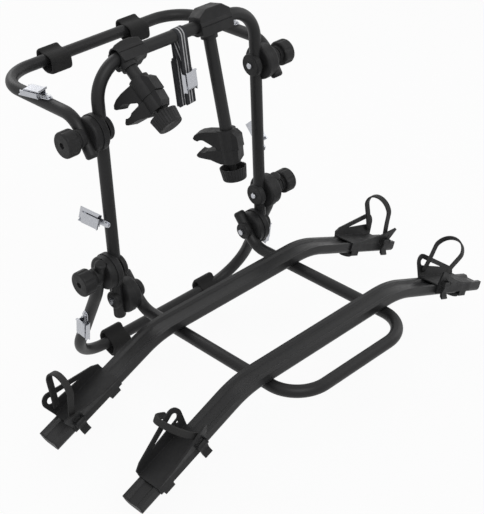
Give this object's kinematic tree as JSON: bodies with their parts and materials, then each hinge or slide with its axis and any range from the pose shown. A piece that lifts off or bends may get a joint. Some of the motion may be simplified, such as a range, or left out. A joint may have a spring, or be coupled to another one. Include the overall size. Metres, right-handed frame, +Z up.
{
  "type": "bike carrier",
  "caption": "Strap-on platform bike carrier: folding tube frame with padded rests, wheel rails with cradles and straps, and swinging clamp arms.",
  "frame": {"origin": "middle of the lower rest frame's hinge axis, between the two legs", "axes": "+X across the car, +Y towards the car, +Z up"},
  "size_m": [1.086, 0.863, 0.8662],
  "materials": {
    "tube_coat": "satin black powder coat",
    "rail_coat": "satin black coated extrusion",
    "black_plastic": "fine moulded texture",
    "pad_rubber": "matt rubber",
    "strap_rubber": "matt flexible rubber",
    "zinc": "bright zinc plate",
    "webbing": "woven polyester with two pale lines"
  },
  "bodies": {
    "main_frame": {"main_tube": "tube_coat", "main_plugs": "black_plastic", "main_hubs": "black_plastic", "frame_bolts": "zinc", "main_buckles": "zinc", "strap_webbing": "webbing", "strap_hank": "webbing", "strap_buckle": "zinc"},
    "upper_frame": {"upper_tube": "tube_coat", "upper_plugs": "black_plastic", "upper_hubs": "black_plastic", "upper_pads": "pad_rubber", "upper_buckles": "zinc"},
    "lower_frame": {"lower_tube": "tube_coat", "lower_plugs": "black_plastic", "lower_hubs": "black_plastic", "lower_pads": "pad_rubber", "lower_buckles": "zinc"},
    "platform": {"platform_tube": "tube_coat", "platform_hubs": "black_plastic", "platform_caps": "black_plastic", "rail_back": "rail_coat", "rail_front": "rail_coat"},
    "upper_left_knob": {"upper_left_knob": "black_plastic"},
    "upper_right_knob": {"upper_right_knob": "black_plastic"},
    "lower_left_knob": {"lower_left_knob": "black_plastic"},
    "lower_right_knob": {"lower_right_knob": "black_plastic"},
    "upper_left_lever": {"upper_left_lever": "zinc"},
    "upper_right_lever": {"upper_right_lever": "zinc"},
    "main_left_lever": {"main_left_lever": "zinc"},
    "main_right_lever": {"main_right_lever": "zinc"},
    "lower_left_lever": {"lower_left_lever": "zinc"},
    "lower_right_lever": {"lower_right_lever": "zinc"},
    "strap_lever": {"strap_lever": "zinc"},
    "arm1": {"arm1_bracket": "black_plastic", "arm1_post": "tube_coat"},
    "arm1_head": {"arm1_head": "black_plastic"},
    "arm1_jaw": {"arm1_jaw": "black_plastic"},
    "arm1_knob": {"arm1_knob": "black_plastic"},
    "arm2": {"arm2_bracket": "black_plastic", "arm2_post": "tube_coat"},
    "arm2_head": {"arm2_head": "black_plastic"},
    "arm2_jaw": {"arm2_jaw": "black_plastic"},
    "arm2_knob": {"arm2_knob": "black_plastic"},
    "back_left_cradle": {"back_left_cradle": "black_plastic"},
    "back_left_strap": {"back_left_strap": "strap_rubber"},
    "back_left_ratchet": {"back_left_ratchet": "black_plastic"},
    "back_left_lock": {"back_left_lock": "black_plastic"},
    "back_right_cradle": {"back_right_cradle": "black_plastic"},
    "back_right_strap": {"back_right_strap": "strap_rubber"},
    "back_right_ratchet": {"back_right_ratchet": "black_plastic"},
    "back_right_lock": {"back_right_lock": "black_plastic"},
    "front_left_cradle": {"front_left_cradle": "black_plastic"},
    "front_left_strap": {"front_left_strap": "strap_rubber"},
    "front_left_ratchet": {"front_left_ratchet": "black_plastic"},
    "front_left_lock": {"front_left_lock": "black_plastic"},
    "front_right_cradle": {"front_right_cradle": "black_plastic"},
    "front_right_strap": {"front_right_strap": "strap_rubber"},
    "front_right_ratchet": {"front_right_ratchet": "black_plastic"},
    "front_right_lock": {"front_right_lock": "black_plastic"}
  },
  "joints": [
    {"name": "upper_frame_hinge", "type": "hinge", "parent": "main_frame", "child": "upper_frame", "pos_m": [0, 0, 0.338], "axis": [1, 0, 0], "range_deg": [-45, 90]},
    {"name": "lower_frame_hinge", "type": "hinge", "parent": "main_frame", "child": "lower_frame", "pos_m": [0, 0, 0], "axis": [1, 0, 0], "range_deg": [-30, 60]},
    {"name": "platform_hinge", "type": "hinge", "parent": "main_frame", "child": "platform", "pos_m": [0, 0, -0.082], "axis": [1, 0, 0], "range_deg": [-60, 0]},
    {"name": "upper_left_knob_turn", "type": "hinge", "parent": "main_frame", "child": "upper_left_knob", "pos_m": [-0.27, 0, 0.338], "axis": [-1, 0, 0], "continuous": true},
    {"name": "upper_right_knob_turn", "type": "hinge", "parent": "main_frame", "child": "upper_right_knob", "pos_m": [0.27, 0, 0.338], "axis": [1, 0, 0], "continuous": true},
    {"name": "lower_left_knob_turn", "type": "hinge", "parent": "main_frame", "child": "lower_left_knob", "pos_m": [-0.27, 0, 0], "axis": [-1, 0, 0], "continuous": true},
    {"name": "lower_right_knob_turn", "type": "hinge", "parent": "main_frame", "child": "lower_right_knob", "pos_m": [0.27, 0, 0], "axis": [1, 0, 0], "continuous": true},
    {"name": "upper_left_lever_press", "type": "hinge", "parent": "upper_frame", "child": "upper_left_lever", "pos_m": [-0.28346, 0.15823, 0.4012], "axis": [-0.9659, -0.2588, 0], "range_deg": [0, 100], "stiffness_Nm_per_rad": 0.05, "springref_deg": -34.38},
    {"name": "upper_right_lever_press", "type": "hinge", "parent": "upper_frame", "child": "upper_right_lever", "pos_m": [0.27, 0.16, 0.4012], "axis": [-1, 0, 0], "range_deg": [0, 100], "stiffness_Nm_per_rad": 0.05, "springref_deg": -34.38},
    {"name": "main_left_lever_press", "type": "hinge", "parent": "main_frame", "child": "main_left_lever", "pos_m": [-0.26616, 0.03728, 0.13233], "axis": [-0.1033, 0.2556, -0.9613], "range_deg": [0, 100], "stiffness_Nm_per_rad": 0.05, "springref_deg": -34.38},
    {"name": "main_right_lever_press", "type": "hinge", "parent": "main_frame", "child": "main_right_lever", "pos_m": [0.2492, 0.03343, 0.15783], "axis": [0, -0.766, 0.6428], "range_deg": [0, 100], "stiffness_Nm_per_rad": 0.05, "springref_deg": -34.38},
    {"name": "lower_left_lever_press", "type": "hinge", "parent": "lower_frame", "child": "lower_left_lever", "pos_m": [-0.2942, 0.05746, -0.17111], "axis": [0, -0.9877, -0.1564], "range_deg": [0, 100], "stiffness_Nm_per_rad": 0.05, "springref_deg": -34.38},
    {"name": "lower_right_lever_press", "type": "hinge", "parent": "lower_frame", "child": "lower_right_lever", "pos_m": [0.2942, 0.05746, -0.17111], "axis": [0, 0.9877, 0.1564], "range_deg": [0, 100], "stiffness_Nm_per_rad": 0.05, "springref_deg": -34.38},
    {"name": "strap_lever_press", "type": "hinge", "parent": "main_frame", "child": "strap_lever", "pos_m": [0.01011, -0.0221, 0.36244], "axis": [0.9962, 0, 0.0872], "range_deg": [0, 100], "stiffness_Nm_per_rad": 0.05, "springref_deg": -34.38},
    {"name": "arm1_swing", "type": "hinge", "parent": "main_frame", "child": "arm1", "pos_m": [-0.152, 0, 0.478], "axis": [1, 0, 0], "range_deg": [-39, 40]},
    {"name": "arm1_head_swivel", "type": "hinge", "parent": "arm1", "child": "arm1_head", "pos_m": [-0.152, -0.06606, 0.42451], "axis": [0, -0.7771, -0.6293], "range_deg": [-90, 90]},
    {"name": "arm1_jaw_slide", "type": "slide", "parent": "arm1_head", "child": "arm1_jaw", "axis": [0, -0.7771, -0.6293], "range_m": [0, 0.02]},
    {"name": "arm1_knob_turn", "type": "hinge", "parent": "arm1_jaw", "child": "arm1_knob", "pos_m": [-0.152, -0.12823, 0.37416], "axis": [0, -0.7771, -0.6293], "range_deg": [0, 1441]},
    {"name": "arm2_swing", "type": "hinge", "parent": "main_frame", "child": "arm2", "pos_m": [0.083, 0, 0.478], "axis": [1, 0, 0], "range_deg": [-79, 15]},
    {"name": "arm2_head_swivel", "type": "hinge", "parent": "arm2", "child": "arm2_head", "pos_m": [0.083, -0.05095, 0.21591], "axis": [0, -0.1908, -0.9816], "range_deg": [-90, 90]},
    {"name": "arm2_jaw_slide", "type": "slide", "parent": "arm2_head", "child": "arm2_jaw", "axis": [0, -0.1908, -0.9816], "range_m": [0, 0.02]},
    {"name": "arm2_knob_turn", "type": "hinge", "parent": "arm2_jaw", "child": "arm2_knob", "pos_m": [0.083, -0.06621, 0.13737], "axis": [0, -0.1908, -0.9816], "range_deg": [0, 1441]},
    {"name": "back_left_slide", "type": "slide", "parent": "platform", "child": "back_left_cradle", "axis": [-0.9239, 0, -0.3827], "range_m": [-0.08, 0.03]},
    {"name": "back_left_strap_swing", "type": "hinge", "parent": "back_left_cradle", "child": "back_left_strap", "pos_m": [-0.50048, -0.147, -0.16393], "axis": [0, -1, 0], "range_deg": [-35, 75]},
    {"name": "back_left_ratchet_lift", "type": "hinge", "parent": "back_left_cradle", "child": "back_left_ratchet", "pos_m": [-0.49035, -0.186, -0.17272], "axis": [-0.9239, 0, -0.3827], "range_deg": [0, 70]},
    {"name": "back_left_lock_turn", "type": "hinge", "parent": "back_left_cradle", "child": "back_left_lock", "pos_m": [-0.3815, -0.147, -0.17418], "axis": [-0.3827, 0, 0.9239], "continuous": true},
    {"name": "back_right_slide", "type": "slide", "parent": "platform", "child": "back_right_cradle", "axis": [0.9239, 0, -0.3827], "range_m": [-0.08, 0.03]},
    {"name": "back_right_strap_swing", "type": "hinge", "parent": "back_right_cradle", "child": "back_right_strap", "pos_m": [0.4928, -0.147, -0.16738], "axis": [0, 1, 0], "range_deg": [-35, 75]},
    {"name": "back_right_ratchet_lift", "type": "hinge", "parent": "back_right_cradle", "child": "back_right_ratchet", "pos_m": [0.48266, -0.186, -0.17617], "axis": [-0.9239, 0, 0.3827], "range_deg": [0, 70]},
    {"name": "back_right_lock_turn", "type": "hinge", "parent": "back_right_cradle", "child": "back_right_lock", "pos_m": [0.37382, -0.147, -0.17763], "axis": [0.3827, 0, 0.9239], "continuous": true},
    {"name": "front_left_slide", "type": "slide", "parent": "platform", "child": "front_left_cradle", "axis": [-0.9239, 0, -0.3827], "range_m": [-0.08, 0.03]},
    {"name": "front_left_strap_swing", "type": "hinge", "parent": "front_left_cradle", "child": "front_left_strap", "pos_m": [-0.39331, -0.418, -0.11954], "axis": [0, -1, 0], "range_deg": [-60, 6]},
    {"name": "front_left_ratchet_lift", "type": "hinge", "parent": "front_left_cradle", "child": "front_left_ratchet", "pos_m": [-0.39426, -0.457, -0.13292], "axis": [-0.9239, 0, -0.3827], "range_deg": [0, 70]},
    {"name": "front_left_lock_turn", "type": "hinge", "parent": "front_left_cradle", "child": "front_left_lock", "pos_m": [-0.47019, -0.418, -0.21092], "axis": [-0.3827, 0, 0.9239], "continuous": true},
    {"name": "front_right_slide", "type": "slide", "parent": "platform", "child": "front_right_cradle", "axis": [0.9239, 0, -0.3827], "range_m": [-0.08, 0.03]},
    {"name": "front_right_strap_swing", "type": "hinge", "parent": "front_right_cradle", "child": "front_right_strap", "pos_m": [0.37731, -0.418, -0.11954], "axis": [0, 1, 0], "range_deg": [-77, 20]},
    {"name": "front_right_ratchet_lift", "type": "hinge", "parent": "front_right_cradle", "child": "front_right_ratchet", "pos_m": [0.37826, -0.457, -0.13292], "axis": [-0.9239, 0, 0.3827], "range_deg": [0, 70]},
    {"name": "front_right_lock_turn", "type": "hinge", "parent": "front_right_cradle", "child": "front_right_lock", "pos_m": [0.4542, -0.418, -0.21092], "axis": [0.3827, 0, 0.9239], "continuous": true}
  ],
  "couplings": [
    {"joint": "arm1_knob_turn", "follows": "arm1_jaw_slide", "rad_per_m": 1256.6},
    {"joint": "arm2_knob_turn", "follows": "arm2_jaw_slide", "rad_per_m": 1256.6}
  ]
}
